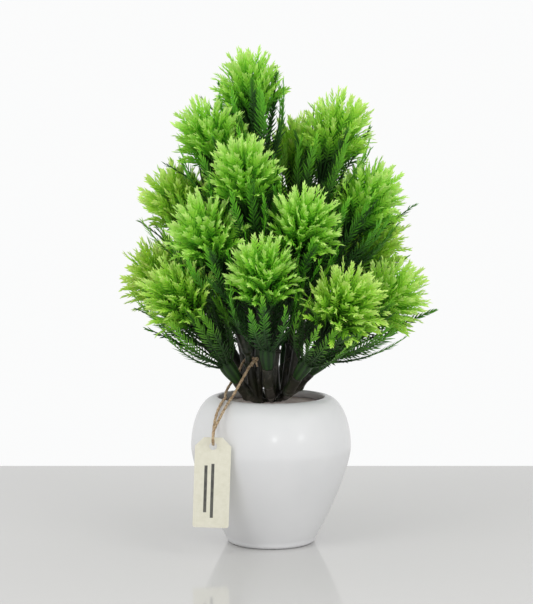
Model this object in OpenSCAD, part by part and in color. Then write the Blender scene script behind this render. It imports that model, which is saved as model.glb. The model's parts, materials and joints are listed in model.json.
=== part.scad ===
// Artificial tabletop tree: a bush of push-in plastic sprigs on dark moulded boughs, planted in a
// round white pot that is filled with plaster, with a paper swing tag on a loop of jute twine.
// Millimetres, +Z up. The origin is the centre of the pot's foot, on the surface it stands on.

/* [Pot] */
// Height of the pot to the top of its lip
pot_h = 87; // [60:1:140]
// Widest diameter of the belly
pot_d = 95; // [80:1:140]
// Height of the widest place above the table
belly_z = 57; // [40:1:58]
// Diameter of the mouth inside the lip
mouth_d = 63; // [52:1:70]
// Diameter across the foot before its edge is rounded
foot_d = 50.2; // [42:0.2:60]
// Thickness of the ceramic wall
pot_wall = 4; // [3:0.5:6]
// Thickness of the pot's floor
floor_t = 5; // [4:0.5:8]

/* [Filling] */
// How far the plaster lies below the lip
fill_drop = 5; // [3:0.5:9]
// Thickness of the plaster layer
plaster_t = 14; // [10:1:20]

/* [Boughs] */
// Diameter of a bough's main stem
bough_d = 6; // [5:0.1:7.2]
// Diameter of a side shoot
shoot_d = 4.6; // [3.6:0.1:5.6]
// Diameter of the sleeve that takes a sprig
sleeve_d = 6.6; // [5.4:0.1:8]
// Length of that sleeve
sleeve_l = 12; // [10:0.5:15]
// Diameter of a bough's rounded foot, where it is held in the hub
foot_ball_d = 3; // [2.5:0.1:3.2]
// Diameter of the steel wire inside a bough
wire_d = 1.4; // [1:0.1:1.7]
// Radius of the ring of feet on the hub
ring_r = 4.8; // [4.7:0.1:6]

/* [Sprigs] */
// Diameter of a sprig's head of fronds, without the loose tips
head_d = 30; // [24:1:36]
// Free space between neighbouring heads, which sets how far apart they stand
head_gap = 9; // [8:0.5:14]
// From a sprig's shoulder to the middle of its head
stalk_l = 74; // [66:1:80]
// Height of the dome on top of a head
head_cap = 21; // [16:1:24]
// Diameter of the calyx at the bottom of a sprig
calyx_d = 8.6; // [7:0.1:9.6]
// Length of the calyx
calyx_l = 15; // [12:1:18]
// Diameter of the peg under a sprig
peg_d = 3.1; // [2.6:0.1:3.7]
// Length of that peg
peg_l = 7; // [5:0.5:8]

/* [Tag] */
// Width of the paper tag
tag_w = 20.6; // [16:0.2:24]
// Length of the tag
tag_l = 52; // [40:1:56]
// Thickness of the tag's board
tag_t = 0.6; // [0.4:0.1:1]
// Width of the cut across each top corner
tag_corner = 5; // [3:0.5:7]
// Diameter of the punched hole
tag_hole_d = 4.4; // [4.2:0.1:5.4]
// Diameter of the jute twine
twine_d = 1.8; // [1.4:0.1:2]

/* [Hidden] */
$fn = 48;
PEG_FIT = 0.05;      // radial clearance of a peg in its sleeve
BALL_FIT = 0.3;      // clearance around a foot in the hub
SEAT_FIT = 0.3;      // between a sprig's shoulder and its sleeve
TWINE_FIT = 0.3;     // between the twine and what it passes

// ---- pot: outer profile below and above the belly, inner profile, all as [radius, height]
pot_r = pot_d / 2;
foot_r = foot_d / 2;
mouth_r = mouth_d / 2;
LIP_R = 1;           // rounding of the lip's inner edge
foot_round = 3;      // rounding of the foot's edge
taper = 1.42;        // how the side curves in towards the foot
lower_r = function (z) pot_r - (pot_r - foot_r) * pow((belly_z - z) / belly_z, taper);
upper_in_h = pot_h - belly_z - 4;
outer_low = [for (i = [0:18]) let (z = foot_round + (belly_z - foot_round) * i / 18) [lower_r(z), z]];
foot_arc_x = lower_r(foot_round) - foot_round;
foot_arc = [for (a = [-90:18:-18]) [foot_arc_x + foot_round * cos(a), foot_round + foot_round * sin(a)]];
outer_up = [for (a = [5:5:90])
    [mouth_r + LIP_R + (pot_r - mouth_r - LIP_R) * cos(a), belly_z + (pot_h - belly_z) * sin(a)]];
lip_arc = [for (a = [110:20:170]) [mouth_r + LIP_R + LIP_R * cos(a), pot_h - LIP_R + LIP_R * sin(a)]];
inner_up = [for (a = [90:-6:0])
    [mouth_r + (pot_r - pot_wall - mouth_r) * cos(a), belly_z + upper_in_h * sin(a)]];
inner_low = [for (i = [1:14]) let (z = belly_z - (belly_z - floor_t) * i / 14) [lower_r(z) - pot_wall, z]];
plaster_z = pot_h - fill_drop;
foam_z = plaster_z - plaster_t;

// ---- hub: the plug in the plaster that holds every bough's foot
hub_r = ring_r + 2.2;
hub_edge_z = plaster_z - 0.1;
hub_slope = 2.6;     // rise of the hub's top from its edge to the leader
hub_h = 8;
spike_r = 3;
spike_l = 34;
leader_r = 2.4;
leader_sink = 10;    // depth of the leader's bore in the hub and its spike
leader_z = plaster_z - leader_sink + 0.2;
leader_wire_l = 40;  // how far the leader's wire runs above its foot
foot_z = plaster_z + 2.4;
root = [0, 0, plaster_z + 2];

// ---- layout of the sprigs: name, bough, azimuth, tilt from upright, reach in head spacings,
// ---- lean of the sprig's own axis beyond that tilt, and where along the bough its shoot leaves
pitch = head_d + head_gap;
SPRIGS = [
    ["sprig_front_left_low", 0, -142, 45, 2.6, -6, 1],
    ["sprig_front_left_mid", 0, -131, 29, 3.2, -2, 0.6],
    ["sprig_front_left_top", 0, -112, 18, 3.85, 2, 0.4],
    ["sprig_front_low", 1, -94, 38, 2.8, -6, 1],
    ["sprig_front_mid", 1, -70, 28, 3.3, 6, 0.4],
    ["sprig_right_low", 2, -14, 48, 2.65, -2, 1],
    ["sprig_right_front", 2, -58, 50, 2.75, -4, 0.4],
    ["sprig_right_mid", 2, -6, 26, 3.65, 4, 0.7],
    ["sprig_back_right_low", 3, 42, 50, 2.75, -6, 1],
    ["sprig_back_right_mid", 3, 22, 36, 3.1, 4, 0.5],
    ["sprig_back_right_top", 3, 48, 28, 3.45, 2, 0.3],
    ["sprig_back_low", 4, 74, 47, 2.75, -6, 1],
    ["sprig_back_mid", 4, 88, 29, 3.4, 4, 0.45],
    ["sprig_back_left_low", 5, 138, 43, 2.95, -4, 1],
    ["sprig_back_left_side", 5, 106, 47, 2.75, -6, 0.5],
    ["sprig_back_left_mid", 5, 130, 26, 3.5, 4, 0.35],
    ["sprig_left_low", 6, 168, 43, 2.8, -4, 1],
    ["sprig_left_mid", 6, -178, 25, 3.6, 2, 0.5],
    ["sprig_crown_top", 7, 173, 4, 5, 2, 1],
    ["sprig_crown_left", 7, -160, 14, 4.35, 6, 0.52],
    ["sprig_crown_right", 7, -6, 14, 4.4, 4, 0.48],
    ["sprig_crown_back", 7, 62, 14, 4.15, 4, 0.4],
    ["sprig_crown_rear", 7, 130, 13, 4.2, 4, 0.44]
];
// boughs: name of the bough, of its wire, and azimuth of its foot on the hub's ring
BOUGHS = [
    ["bough_front_left", "wire_front_left", -138],
    ["bough_front", "wire_front", -86],
    ["bough_right", "wire_right", -34],
    ["bough_back_right", "wire_back_right", 34],
    ["bough_back", "wire_back", 86],
    ["bough_back_left", "wire_back_left", 136],
    ["bough_left", "wire_left", 178],
    ["leader", "wire_leader", 0]
];
LEADER = len(BOUGHS) - 1;
TRUNK_R = 3;         // radius of the leader above the hub

// ---- where everything stands
aim = function (az, tilt) [sin(tilt) * cos(az), sin(tilt) * sin(az), cos(tilt)];
unit = function (v) v / norm(v);
axis_of = function (s) aim(SPRIGS[s][2], SPRIGS[s][3] + SPRIGS[s][5]);
head_of = function (s) root + SPRIGS[s][4] * pitch * aim(SPRIGS[s][2], SPRIGS[s][3]);
socket_of = function (s) head_of(s) - stalk_l * axis_of(s);
knee_of = function (s) socket_of(s) - sleeve_l * axis_of(s);
sprigs_on = function (b) [for (s = [0:len(SPRIGS) - 1]) if (SPRIGS[s][1] == b) s];
foot_of = function (b) b == LEADER ? [0, 0, foot_z]
    : [ring_r * cos(BOUGHS[b][2]), ring_r * sin(BOUGHS[b][2]), foot_z];
fork_of = function (s) let (b = SPRIGS[s][1], end = knee_of(sprigs_on(b)[0]))
    foot_of(b) + SPRIGS[s][6] * (end - foot_of(b));
bore_l = peg_l + 1;
KNUCKLE = 0.5;       // how much wider a knee or a fork is than its stem
COLLAR_AT = 0.7;     // how far up a shoot its raised ring sits
COLLAR_H = 1.6;
LAP = 0.5;           // overlap of two lengths of one stem
TAPER_L = 9;         // a bough's foot swells to its full diameter over this length

// ---- sprig profile as [radius, distance above the shoulder]
head_r = head_d / 2;
neck_r = 0.42 * calyx_d;
widest = stalk_l - 2;
calyx_profile = [
    [0, SEAT_FIT], [calyx_d * 0.38, SEAT_FIT], [calyx_d * 0.46, 2], [calyx_d / 2, 0.6 * calyx_l],
    [neck_r, calyx_l]
];
cup_profile = [for (t = [0.12:0.11:0.99])
    [neck_r + (head_r - neck_r) * (1 - cos(180 * t)) / 2, calyx_l + (widest - calyx_l) * t]];
dome_profile = [for (a = [0:15:75]) [head_r * cos(a), widest + head_cap * sin(a)]];

// ---- tag and twine: points chosen by hand on the front left, each as [x, y, height above the lip]
tag_pin = [-33, -45, -21.6];      // where the twine runs through the hole
tag_slant = 2;                   // the tag hangs this many degrees off plumb
hole_drop = tag_hole_d / 2 - twine_d / 2 - TWINE_FIT;
TAG_TOP = 5;                     // from the hole's centre to the tag's top edge
FRONT_UPPER = [
    [-9.6, -16.6, 23], [-10.8, -17.8, 22], [-12.6, -19, 19.8], [-14.8, -20.2, 16],
    [-17.8, -21.9, 10.8], [-21, -23.9, 5.2], [-22.7, -25, 2.6]
];
LOWER = [
    [-23.8, -26.4, 1.1], [-26.6, -32.8, -2.8], [-29.6, -39.4, -7.8], [-31.6, -43.8, -11.4],
    [-32.6, -46.8, -13.8], [-33, -48.4, -15.8], [-33, -48.8, -17.8], [-33, -47.7, -20.5], [-33, -45, -21.6],
    [-33, -42.3, -20.5], [-33, -41.2, -17.8], [-33, -39.6, -15], [-32.6, -36, -11.4], [-31.8, -32.4, -7.6],
    [-30.6, -29, -4], [-28.8, -25.4, -0.8], [-27.6, -23.2, 0.7]
];
BACK_UPPER = [
    [-26.6, -21.2, 1.9], [-26.6, -17.6, 3.6], [-25.4, -12.6, 6.2], [-22.8, -9.2, 10], [-19.2, -8.8, 15.4],
    [-16.9, -9.8, 20.4], [-15.4, -10.6, 22.6], [-13.2, -10.9, 23.7], [-11.2, -11.9, 24], [-10.1, -13.6, 23.9],
    [-9.6, -15, 23.6]
];
KNOT = [-9.3, -15.9, 23.4];

// ---- helpers
// Children stand at p with their Z axis along v
module along(p, v) {
    translate(p) rotate([0, acos(v[2] / norm(v)), atan2(v[1], v[0])]) children();
}

// A round rod from a to b, tapering from ra to rb
module rod(a, b, ra, rb) {
    along(a, b - a) cylinder(h = norm(b - a), r1 = ra, r2 = rb);
}

// A tube of radius r swept along points, flat at both ends
module swept(points, r) {
    sides = 8;
    n = len(points);
    heading = [for (i = [0:n - 1]) unit(points[min(i + 1, n - 1)] - points[max(i - 1, 0)])];
    rings = [for (i = [0:n - 1])
        let (t = heading[i], u = unit(cross(t, [0.9, 0.1, -0.5])), w = cross(t, u))
        for (k = [0:sides - 1]) points[i] + r * (cos(45 * k) * u + sin(45 * k) * w)];
    skin = [for (i = [0:n - 2], k = [0:sides - 1]) let (a = i * sides, m = (k + 1) % sides)
        each [[a + k, a + m, a + sides + m], [a + k, a + sides + m, a + sides + k]]];
    first = [for (k = [sides - 1:-1:0]) k];
    last = [for (k = [0:sides - 1]) (n - 1) * sides + k];
    polyhedron(points = rings, faces = concat(skin, [first], [last]));
}

// ---- pot and filling
module pot_cavity() {
    rotate_extrude($fn = 96) polygon(concat([[0, floor_t], [0, pot_h + 1], [mouth_r, pot_h + 1]],
        inner_up, inner_low));
}

module pot() {
    color([0.93, 0.93, 0.92]) difference() {
        rotate_extrude($fn = 96) polygon(concat([[0, 0]], foot_arc, outer_low, outer_up, lip_arc,
            [[mouth_r, pot_h - LIP_R], [0, pot_h - LIP_R]]));
        pot_cavity();
    }
}

module foam_core() {
    color([0.86, 0.88, 0.84]) difference() {
        intersection() {
            pot_cavity();
            cylinder(h = foam_z, r = pot_r);
        }
        hub_spike(PEG_FIT);
    }
}

module plaster_fill() {
    color([0.63, 0.58, 0.55]) difference() {
        intersection() {
            pot_cavity();
            translate([0, 0, foam_z]) cylinder(h = plaster_t, r = pot_r);
        }
        translate([0, 0, plaster_z - hub_h]) cylinder(h = hub_h + 1, r = hub_r);
        hub_spike(0);
    }
}

// The hub's long point, which runs down through the plaster into the foam
module hub_spike(gap) {
    translate([0, 0, plaster_z - spike_l - gap]) cylinder(h = spike_l + gap, r = spike_r + gap);
}

module root_hub() {
    color([0.16, 0.13, 0.1]) difference() {
        union() {
            translate([0, 0, plaster_z - hub_h]) cylinder(h = hub_h - 0.1, r = hub_r);
            translate([0, 0, hub_edge_z]) cylinder(h = hub_slope, r1 = hub_r, r2 = leader_r + 0.3);
            hub_spike(0);
        }
        translate([0, 0, plaster_z - leader_sink]) cylinder(h = 20, r = leader_r + PEG_FIT);
        for (b = [0:LEADER - 1]) translate(foot_of(b)) sphere(d = foot_ball_d + 2 * BALL_FIT);
    }
}

// ---- boughs
// Knee, sleeve and bore at the end of a shoot, for sprig s
module sleeve(s) {
    translate(knee_of(s)) sphere(d = sleeve_d + KNUCKLE);
    rod(knee_of(s), socket_of(s), sleeve_d / 2, sleeve_d / 2);
}

// Side shoot from a to b: stouter below a raised ring, thin above it
module shoot(a, b) {
    ring_at = a + COLLAR_AT * (b - a);
    rod(a, ring_at, shoot_d / 2 + 0.5, shoot_d / 2 + 0.3);
    rod(a, b, shoot_d / 2 - 0.3, shoot_d / 2 - 0.3);
    along(ring_at, b - a) translate([0, 0, -COLLAR_H / 2]) cylinder(h = COLLAR_H, d = shoot_d + 2.2);
}

module sleeve_bore(s) {
    along(socket_of(s), -axis_of(s)) translate([0, 0, -1]) cylinder(h = bore_l + 1, r = peg_d / 2 + PEG_FIT);
}

// Main stem of bough b, from its foot to the knee of its first sprig
module main_stem(b) {
    foot = foot_of(b);
    knee = knee_of(sprigs_on(b)[0]);
    way = unit(knee - foot);
    if (b == LEADER) {
        translate([0, 0, leader_z]) cylinder(h = foot_z + TAPER_L / 2 - leader_z, r = leader_r);
        rod(foot + way, knee, TRUNK_R, sleeve_d / 2 - 0.4);
    } else {
        translate(foot) sphere(d = foot_ball_d);
        rod(foot, foot + TAPER_L * way, 0.45 * foot_ball_d, bough_d / 2);
        rod(foot + (TAPER_L - LAP) * way, knee, bough_d / 2, bough_d / 2);
    }
}

module bough(b) {
    color([0.17, 0.15, 0.11]) difference() {
        union() {
            main_stem(b);
            for (s = sprigs_on(b)) {
                sleeve(s);
                if (SPRIGS[s][6] < 1) {
                    translate(fork_of(s)) sphere(d = bough_d + KNUCKLE);
                    shoot(fork_of(s), knee_of(s));
                }
            }
        }
        for (s = sprigs_on(b)) sleeve_bore(s);
        wire_shape(b, foot_ball_d);
    }
}

// Straight wire core, which starts this far below the foot's centre and ends short of the first knee.
// The leader's wire stands upright and starts below its lower end.
module wire_shape(b, below) {
    foot = foot_of(b);
    knee = knee_of(sprigs_on(b)[0]);
    way = unit(knee - foot);
    if (b == LEADER)
        rod([0, 0, leader_z - below], [0, 0, foot_z + leader_wire_l], wire_d / 2, wire_d / 2);
    else
        rod(foot - way * below, knee - way, wire_d / 2, wire_d / 2);
}

module wire(b) {
    color([0.55, 0.55, 0.56]) wire_shape(b, b == LEADER ? 0 : 0.4 * foot_ball_d);
}

// ---- sprigs
module sprig(s) {
    color([0.45, 0.72, 0.2]) along(socket_of(s), axis_of(s)) {
        rotate_extrude() polygon(concat(calyx_profile, cup_profile, dome_profile, [[0, widest + head_cap]]));
        translate([0, 0, -peg_l]) cylinder(h = peg_l + SEAT_FIT, r = peg_d / 2);
    }
}

// ---- tag and twine
module tag() {
    half = tag_w / 2;
    low = TAG_TOP - tag_l;
    color([0.92, 0.9, 0.83]) translate(tag_pin + [0, 0, pot_h]) rotate([90, tag_slant, 0])
        translate([0, -hole_drop, -tag_t / 2]) linear_extrude(tag_t) difference() {
            polygon([
                [-half, low], [half, low], [half, TAG_TOP - tag_corner], [half - tag_corner, TAG_TOP],
                [tag_corner - half, TAG_TOP], [-half, TAG_TOP - tag_corner]
            ]);
            circle(d = tag_hole_d);
        }
}

module twine_upper() {
    color([0.66, 0.56, 0.43]) translate([0, 0, pot_h]) {
        swept(FRONT_UPPER, twine_d / 2);
        swept(BACK_UPPER, twine_d / 2);
    }
}

module twine_lower() {
    color([0.66, 0.56, 0.43]) translate([0, 0, pot_h]) swept(LOWER, twine_d / 2);
}

module twine_knot() {
    color([0.62, 0.52, 0.4]) translate(KNOT + [0, 0, pot_h]) sphere(d = 2 * twine_d);
}

pot();
foam_core();
plaster_fill();
root_hub();
for (b = [0:len(BOUGHS) - 1]) bough(b);
for (b = [0:len(BOUGHS) - 1]) wire(b);
for (s = [0:len(SPRIGS) - 1]) sprig(s);
tag();
twine_upper();
twine_lower();
twine_knot();
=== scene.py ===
# %% [markdown]
# Artificial tabletop tree
#
# A bush of push-in plastic sprigs on dark moulded boughs, planted in a round white pot.
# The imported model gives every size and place. This script adds the looks around it: feathery
# heads, moulded bark, satin glaze, plaster, a paper tag and its jute twine. Metres, +Z up.

# %% Load the fixed frame
import json
from contextlib import contextmanager
from math import cos, exp, hypot, pi, radians, sin, sqrt

import bmesh
import bpy
from mathutils import Matrix, Vector, noise


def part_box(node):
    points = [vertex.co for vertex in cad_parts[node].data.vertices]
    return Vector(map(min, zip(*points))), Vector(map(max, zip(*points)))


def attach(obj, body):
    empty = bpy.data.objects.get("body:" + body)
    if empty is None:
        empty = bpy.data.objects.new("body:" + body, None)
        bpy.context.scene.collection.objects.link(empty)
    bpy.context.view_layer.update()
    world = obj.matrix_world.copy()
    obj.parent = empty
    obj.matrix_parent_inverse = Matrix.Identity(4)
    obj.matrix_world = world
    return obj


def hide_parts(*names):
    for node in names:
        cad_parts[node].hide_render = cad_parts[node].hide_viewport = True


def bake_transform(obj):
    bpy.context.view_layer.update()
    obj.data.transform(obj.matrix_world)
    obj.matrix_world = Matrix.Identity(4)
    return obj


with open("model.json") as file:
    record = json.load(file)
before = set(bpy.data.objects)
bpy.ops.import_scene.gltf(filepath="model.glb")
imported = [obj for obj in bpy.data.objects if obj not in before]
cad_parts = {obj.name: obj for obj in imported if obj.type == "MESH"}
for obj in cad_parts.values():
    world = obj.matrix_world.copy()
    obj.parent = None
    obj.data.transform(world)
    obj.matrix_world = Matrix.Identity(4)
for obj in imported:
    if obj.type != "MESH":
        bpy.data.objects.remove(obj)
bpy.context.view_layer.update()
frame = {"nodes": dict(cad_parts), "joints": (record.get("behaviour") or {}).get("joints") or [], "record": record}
scene = bpy.context.scene
MM = 0.001
JOINTS = {joint["name"]: joint for joint in frame["joints"]}
BODY_OF = {node: body for body, nodes in frame["record"]["behaviour"]["bodies"].items() for node in nodes}


def mm(*lengths):
    return tuple(length * MM for length in lengths)


# %% [markdown]
# Camera
#
# The tree is seen from the front, a little above the pot's lip, from about a metre away with a
# long lens. A long lens keeps the pot's outline true and the heads the same size front to back.

# %% Camera
CAMERA_PLACE = Vector((-2.7, -1014, 228)) * MM
CAMERA_PITCH = radians(4.8)
CAMERA_LENS = 102.7


def make_camera():
    data = bpy.data.cameras.new("camera")
    data.lens = CAMERA_LENS
    data.sensor_width = 36
    camera = bpy.data.objects.new("camera", data)
    camera.location = CAMERA_PLACE
    camera.rotation_euler = (pi / 2 - CAMERA_PITCH, 0, 0)
    scene.collection.objects.link(camera)
    scene.camera = camera


make_camera()
scene.view_settings.view_transform = "Standard"
print("camera at", [round(v, 3) for v in CAMERA_PLACE])

# %% [markdown]
# A helper for node trees
#
# Geometry and shader trees are both boxes joined by wires. This small class adds a box and wires
# it in one call: a value that is a socket is wired, and any other value is set on the box.


# %% Node helper
class Graph:
    """Adds nodes to a tree. Inputs are given by name or number, and get gives the first output."""

    def __init__(self, tree):
        self.tree = tree

    def add(self, kind, inputs=None, **settings):
        node = self.tree.nodes.new(kind)
        for key, value in settings.items():
            setattr(node, key, value)
        for key, value in (inputs or {}).items():
            self.feed(node.inputs[key], value)
        return node

    def feed(self, socket, value):
        if isinstance(value, bpy.types.NodeSocket):
            self.tree.links.new(value, socket)
        else:
            socket.default_value = value

    def get(self, kind, inputs=None, **settings):
        return self.add(kind, inputs, **settings).outputs[0]

    def geo(self, kind, inputs=None):
        return self.get("GeometryNode" + kind, inputs)

    def math(self, operation, a, b=0.0, c=0.0):
        return self.get("ShaderNodeMath", {0: a, 1: b, 2: c}, operation=operation)

    def plus(self, a, b):
        return self.math("ADD", a, b)

    def minus(self, a, b):
        return self.math("SUBTRACT", a, b)

    def over(self, a, b):
        return self.math("DIVIDE", a, b)

    def times(self, product, *factors):
        for factor in factors:
            product = self.math("MULTIPLY", product, factor)
        return product

    def times_plus(self, a, b, c):
        return self.math("MULTIPLY_ADD", a, b, c)

    def vector(self, operation, a, b=(0, 0, 0)):
        return self.get("ShaderNodeVectorMath", {0: a, 1: b}, operation=operation)

    def scaled(self, a, factor):
        return self.get("ShaderNodeVectorMath", {0: a, 3: factor}, operation="SCALE")

    def xyz(self, x=0.0, y=0.0, z=0.0):
        return self.get("ShaderNodeCombineXYZ", {0: x, 1: y, 2: z})

    def mix(self, factor, a, b):
        return self.times_plus(factor, self.minus(b, a), a)

    def noise(self, place, rate, detail):
        return self.get("ShaderNodeTexNoise", {"Vector": place, "Scale": rate, "Detail": detail})

    def random(self, low, high, number, seed, channel):
        node = self.add("FunctionNodeRandomValue", data_type="FLOAT")
        sockets = {s.name: s for s in node.inputs if s.enabled}
        chosen = self.plus(seed, float(channel))
        for title, value in (("Min", low), ("Max", high), ("ID", number), ("Seed", chosen)):
            self.feed(sockets[title], value)
        return next(s for s in node.outputs if s.enabled)


def new_tree(name, kind, inputs, outputs):
    """A node group with named sockets, each given as (name, type, default)."""
    tree = bpy.data.node_groups.new(name, kind)
    for title, socket_type, default in inputs:
        socket = tree.interface.new_socket(name=title, in_out="INPUT", socket_type=socket_type)
        if default is not None:
            socket.default_value = default
    for title, socket_type in outputs:
        tree.interface.new_socket(name=title, in_out="OUTPUT", socket_type=socket_type)
    return tree


def painted(g, geometry, material):
    """The end of a tree that makes a piece: real geometry with its material."""
    real = g.geo("RealizeInstances", {"Geometry": geometry})
    g.add("NodeGroupOutput", {"Geometry": g.geo("SetMaterial", {"Geometry": real, "Material": material})})


def opened(tree):
    """A group's graph, and the inputs that it is given."""
    g = Graph(tree)
    return g, g.add("NodeGroupInput").outputs


FLOAT, INT, VECTOR = "NodeSocketFloat", "NodeSocketInt", "NodeSocketVector"
GEOMETRY, MATERIAL = "NodeSocketGeometry", "NodeSocketMaterial"

# %% [markdown]
# Shared shader effects
#
# Every finish has a colour that drifts a little from place to place, and a fine grain. Both are
# groups that are built once, and each material places them at its own scale.


# %% Shader groups
def build_mottle():
    """Factor 0 to 1 that drifts over the surface, at a given size in metres."""
    tree = new_tree("mottle", "ShaderNodeTree",
                    [("Size", FLOAT, 0.01), ("Contrast", FLOAT, 1.0), ("Detail", FLOAT, 4.0)],
                    [("Factor", FLOAT)])
    g, given = opened(tree)
    place = g.add("ShaderNodeTexCoord").outputs["Object"]
    rate = g.over(1.0, given["Size"])
    cloud = g.noise(place, rate, given["Detail"])
    spread = g.times_plus(g.minus(cloud, 0.5), given["Contrast"], 0.5)
    clamped = g.get("ShaderNodeClamp", {0: spread})
    g.add("NodeGroupOutput", {"Factor": clamped})
    return tree


def build_grain():
    """Height of a fine grain: soft lumps with small pits in them."""
    tree = new_tree("grain", "ShaderNodeTree",
                    [("Size", FLOAT, 0.001), ("Pits", FLOAT, 0.3)], [("Height", FLOAT)])
    g, given = opened(tree)
    place = g.add("ShaderNodeTexCoord").outputs["Object"]
    rate = g.over(1.0, given["Size"])
    lumps = g.noise(place, rate, 3.0)
    cells = g.add("ShaderNodeTexVoronoi", {"Vector": place, "Scale": rate}).outputs["Distance"]
    pits = g.times(g.math("LESS_THAN", cells, 0.2), given["Pits"])
    g.add("NodeGroupOutput", {"Height": g.minus(lumps, pits)})
    return tree


MOTTLE = build_mottle()
GRAIN = build_grain()


class Finish:
    """A material under construction: its graph, its shader and the shared effects."""

    def __init__(self, name, roughness=0.5, **sockets):
        self.material = bpy.data.materials.new(name)
        self.material.use_nodes = True
        tree = self.material.node_tree
        tree.nodes.clear()
        self.g = Graph(tree)
        self.shader = self.g.add("ShaderNodeBsdfPrincipled", {"Roughness": roughness})
        for title, value in sockets.items():
            self.shader.inputs[title.replace("_", " ")].default_value = value
        self.g.add("ShaderNodeOutputMaterial", {"Surface": self.shader.outputs[0]})

    def group(self, tree, **inputs):
        node = self.g.add("ShaderNodeGroup", node_tree=tree)
        for title, value in inputs.items():
            self.g.feed(node.inputs[title], value)
        return node.outputs[0]

    def mottle(self, size, contrast, detail):
        return self.group(MOTTLE, Size=size, Contrast=contrast, Detail=detail)

    def ramp(self, factor, *stops):
        """Colour ramp with stops given as (place, red, green, blue) in linear light."""
        node = self.g.add("ShaderNodeValToRGB", {0: factor})
        elements = node.color_ramp.elements
        while len(elements) < len(stops):
            elements.new(0.5)
        for element, (place, *colour) in zip(elements, stops):
            element.position = place
            element.color = (*colour, 1)
        return node.outputs[0]

    def blend(self, factor, a, b):
        node = self.g.add("ShaderNodeMix", {0: factor}, data_type="RGBA")
        self.g.feed(node.inputs[6], a)
        self.g.feed(node.inputs[7], b)
        return node.outputs[2]

    def colour(self, socket):
        self.g.feed(self.shader.inputs["Base Color"], socket)

    def roughness(self, factor, low, high):
        self.g.feed(self.shader.inputs["Roughness"], self.g.mix(factor, low, high))

    def bump(self, height, strength, depth):
        node = self.g.add("ShaderNodeBump", {"Strength": strength, "Distance": depth, "Height": height})
        self.g.feed(self.shader.inputs["Normal"], node.outputs[0])


print("shared effects:", MOTTLE.name, GRAIN.name)

# %% [markdown]
# Twine
#
# A thin jute twine is tied round a shoot, runs over the pot's lip to the tag's hole and comes
# back. Its length is fixed, so the shape follows its route. The section has two lobes that turn as
# it goes, as two spun yarns do once laid together.

# %% Twine route and tube
LIP_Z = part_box("pot")[1].z
TWINE_D = 1.8 * MM
TWINE_ROUTE = [
    (-9.6, -16.6, 23), (-10.8, -17.8, 22), (-12.6, -19, 19.8), (-14.8, -20.2, 16), (-17.8, -21.9, 10.8),
    (-21, -23.9, 5.2), (-22.7, -25, 2.6), (-23.8, -26.4, 1.1), (-26.6, -32.8, -2.8), (-29.6, -39.4, -7.8),
    (-31.6, -43.8, -11.4), (-32.6, -46.8, -13.8), (-33, -48.4, -15.8), (-33, -48.8, -17.8),
    (-33, -47.7, -20.5), (-33, -45, -21.6), (-33, -42.3, -20.5), (-33, -41.2, -17.8), (-33, -39.6, -15),
    (-32.6, -36, -11.4), (-31.8, -32.4, -7.6), (-30.6, -29, -4), (-28.8, -25.4, -0.8), (-27.6, -23.2, 0.7),
    (-26.6, -21.2, 1.9), (-26.6, -17.6, 3.6), (-25.4, -12.6, 6.2), (-22.8, -9.2, 10), (-19.2, -8.8, 15.4),
    (-16.9, -9.8, 20.4), (-15.4, -10.6, 22.6), (-13.2, -10.9, 23.7), (-11.2, -11.9, 24),
    (-10.1, -13.6, 23.9), (-9.6, -15, 23.6),
]
TWINE_PITCH = 4.2 * MM


def from_lip(place):
    """A place in metres, given in mm with its height above the pot's lip."""
    return Vector(place) * MM + Vector((0, 0, LIP_Z))


def smooth_route(points, per_span=6):
    """Points on a smooth curve through the given ones (Catmull-Rom)."""
    route = []
    for i in range(len(points) - 1):
        p0, p1, p2, p3 = (points[min(max(k, 0), len(points) - 1)] for k in range(i - 1, i + 3))
        for step in range(per_span):
            t = step / per_span
            route.append(0.5 * ((2 * p1) + (p2 - p0) * t + (2 * p0 - 5 * p1 + 4 * p2 - p3) * t * t
                                + (3 * p1 - p0 - 3 * p2 + p3) * t ** 3))
    route.append(points[-1])
    return route


def link_mesh(name, mesh):
    piece = bpy.data.objects.new(name, mesh)
    scene.collection.objects.link(piece)
    return piece


def lobed_tube(name, route, radius, closed=False, sides=14, lobe=0.13):
    """A tube along a route. Its section has two lobes, which turn once every pitch."""
    frame_up = Vector((0.9, 0.1, -0.5))
    verts, faces, run = [], [], 0.0
    count = len(route)
    for i, point in enumerate(route):
        before = route[(i - 1) % count] if closed or i else point
        after = route[(i + 1) % count] if closed or i < count - 1 else point
        heading = (after - before).normalized()
        across = heading.cross(frame_up).normalized()
        other = heading.cross(across)
        run += (point - route[i - 1]).length if i else 0.0
        for k in range(sides):
            angle = 2 * pi * k / sides
            bulge = 1 - lobe + lobe * cos(2 * angle + 2 * pi * run / TWINE_PITCH)
            verts.append(point + radius * bulge * (cos(angle) * across + sin(angle) * other))
    for i in range(count if closed else count - 1):
        low, high = i * sides, (i + 1) % count * sides
        for k in range(sides):
            beside = (k + 1) % sides
            faces.append((low + k, low + beside, high + beside, high + k))
    if not closed:
        faces.append(tuple(reversed(range(sides))))
        faces.append(tuple((count - 1) * sides + k for k in range(sides)))
    return smooth_solid(name, verts, faces)


def smooth_solid(name, verts, faces):
    mesh = bpy.data.meshes.new(name)
    mesh.from_pydata([tuple(v) for v in verts], [], faces)
    mesh.shade_smooth()
    piece = link_mesh(name, mesh)
    recalculate_normals(piece)
    return piece


@contextmanager
def editing(mesh):
    """Lends a mesh's editable copy, and puts it back."""
    shape = bmesh.new()
    shape.from_mesh(mesh)
    yield shape
    shape.to_mesh(mesh)
    shape.free()


def recalculate_normals(piece):
    with editing(piece.data) as shape:
        bmesh.ops.recalc_face_normals(shape, faces=shape.faces)


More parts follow.
